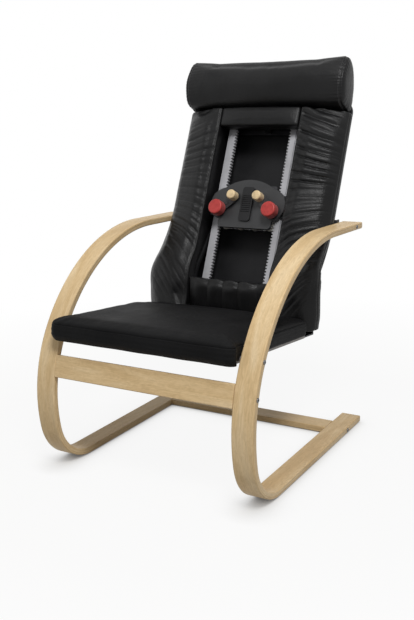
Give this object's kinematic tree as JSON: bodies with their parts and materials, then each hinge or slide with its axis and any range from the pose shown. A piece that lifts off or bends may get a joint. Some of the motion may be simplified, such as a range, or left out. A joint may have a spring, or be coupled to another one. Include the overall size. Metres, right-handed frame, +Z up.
{
  "type": "massage recliner",
  "caption": "Cantilever bentwood lounge chair in black leather with a head roll and a kneading carriage that climbs racks in its open back.",
  "frame": {"origin": "centre of the floor under the whole chair", "axes": "+Z up, the chair faces -Y, +X is the right side seen from the front"},
  "size_m": [0.664, 0.8088, 1.093],
  "materials": {
    "bentwood": "satin clear lacquer on light laminated wood",
    "bolt_metal": "dark zinc",
    "charcoal": "satin moulded",
    "cream_rubber": "satin",
    "dark_plastic": "fine matt texture",
    "leather": "satin black upholstery leather",
    "motor_metal": "satin",
    "plywood": "raw plywood",
    "rack_plastic": "satin moulded",
    "red_rubber": "satin",
    "rubber": "matt",
    "seat_metal": "satin taupe powder coat",
    "steel": "zinc-plated sheet",
    "white_plastic": "slick moulded"
  },
  "bodies": {
    "frame": {"side_frame_right": "bentwood", "side_frame_left": "bentwood", "front_rail": "bentwood", "base_rail": "bentwood", "frame_bolts": "bolt_metal", "barrel_nuts": "bolt_metal", "floor_glides": "rubber", "seat_frame": "seat_metal", "seat_board": "plywood", "seat_cushion": "leather", "seat_brackets": "steel", "arm_brackets": "steel", "back_shell": "dark_plastic", "bolster_right": "leather", "bolster_left": "leather", "centre_panel_top": "leather", "centre_panel_bottom": "leather", "headrest_roll": "leather", "rear_cover": "dark_plastic", "guide_rail_right": "steel", "guide_rail_left": "steel", "rack_right": "rack_plastic", "rack_left": "rack_plastic", "cross_plate_top": "steel", "cross_plate_bottom": "steel", "limit_switches": "dark_plastic", "control_box": "dark_plastic", "power_inlet": "dark_plastic"},
    "carriage": {"carriage_plate": "steel", "carriage_shell": "charcoal", "vent_column": "dark_plastic", "gear_plate": "steel", "guide_shoes": "white_plastic", "knead_motor": "motor_metal", "travel_motor": "motor_metal"},
    "kneader_left": {"kneader_gear_left": "white_plastic", "kneader_arm_left": "charcoal", "red_head_left": "red_rubber", "cream_head_left": "cream_rubber"},
    "kneader_right": {"kneader_gear_right": "white_plastic", "kneader_arm_right": "charcoal", "red_head_right": "red_rubber", "cream_head_right": "cream_rubber"},
    "knead_idler": {"knead_idler": "white_plastic"},
    "knead_drive": {"knead_drive": "white_plastic"},
    "pinion_left": {"pinion_gear_left": "white_plastic"},
    "pinion_right": {"pinion_gear_right": "white_plastic"},
    "travel_idler": {"travel_idler": "white_plastic"},
    "travel_drive": {"travel_drive": "white_plastic"}
  },
  "joints": [
    {"name": "carriage_travel", "type": "slide", "parent": "frame", "child": "carriage", "axis": [0, 0.4067, 0.9135], "range_m": [-0.15, 0.15]},
    {"name": "kneader_left_spin", "type": "hinge", "parent": "carriage", "child": "kneader_left", "pos_m": [-0.06525, 0.21649, 0.66596], "axis": [0, -0.9135, 0.4067], "continuous": true},
    {"name": "kneader_right_spin", "type": "hinge", "parent": "carriage", "child": "kneader_right", "pos_m": [0.06525, 0.21649, 0.66596], "axis": [0, -0.9135, 0.4067], "continuous": true},
    {"name": "knead_idler_spin", "type": "hinge", "parent": "carriage", "child": "knead_idler", "pos_m": [-0.02175, 0.21649, 0.66596], "axis": [0, -0.9135, 0.4067], "continuous": true},
    {"name": "knead_drive_spin", "type": "hinge", "parent": "carriage", "child": "knead_drive", "pos_m": [0.02175, 0.21649, 0.66596], "axis": [0, -0.9135, 0.4067], "continuous": true},
    {"name": "pinion_left_spin", "type": "hinge", "parent": "carriage", "child": "pinion_left", "pos_m": [-0.07425, 0.19819, 0.62485], "axis": [0, -0.9135, 0.4067], "range_deg": [-526.9, 526.9]},
    {"name": "pinion_right_spin", "type": "hinge", "parent": "carriage", "child": "pinion_right", "pos_m": [0.07425, 0.19819, 0.62485], "axis": [0, -0.9135, 0.4067], "range_deg": [-526.9, 526.9]},
    {"name": "travel_idler_spin", "type": "hinge", "parent": "carriage", "child": "travel_idler", "pos_m": [-0.02475, 0.19819, 0.62485], "axis": [0, -0.9135, 0.4067], "range_deg": [-526.9, 526.9]},
    {"name": "travel_drive_spin", "type": "hinge", "parent": "carriage", "child": "travel_drive", "pos_m": [0.02475, 0.19819, 0.62485], "axis": [0, -0.9135, 0.4067], "range_deg": [-526.9, 526.9]}
  ],
  "couplings": [
    {"joint": "kneader_right_spin", "follows": "kneader_left_spin", "ratio": -1},
    {"joint": "knead_idler_spin", "follows": "kneader_left_spin", "ratio": -1},
    {"joint": "knead_drive_spin", "follows": "kneader_left_spin", "ratio": 1},
    {"joint": "pinion_left_spin", "follows": "carriage_travel", "rad_per_m": 60.606},
    {"joint": "travel_idler_spin", "follows": "carriage_travel", "rad_per_m": -60.606},
    {"joint": "travel_drive_spin", "follows": "carriage_travel", "rad_per_m": 60.606},
    {"joint": "pinion_right_spin", "follows": "carriage_travel", "rad_per_m": -60.606}
  ]
}
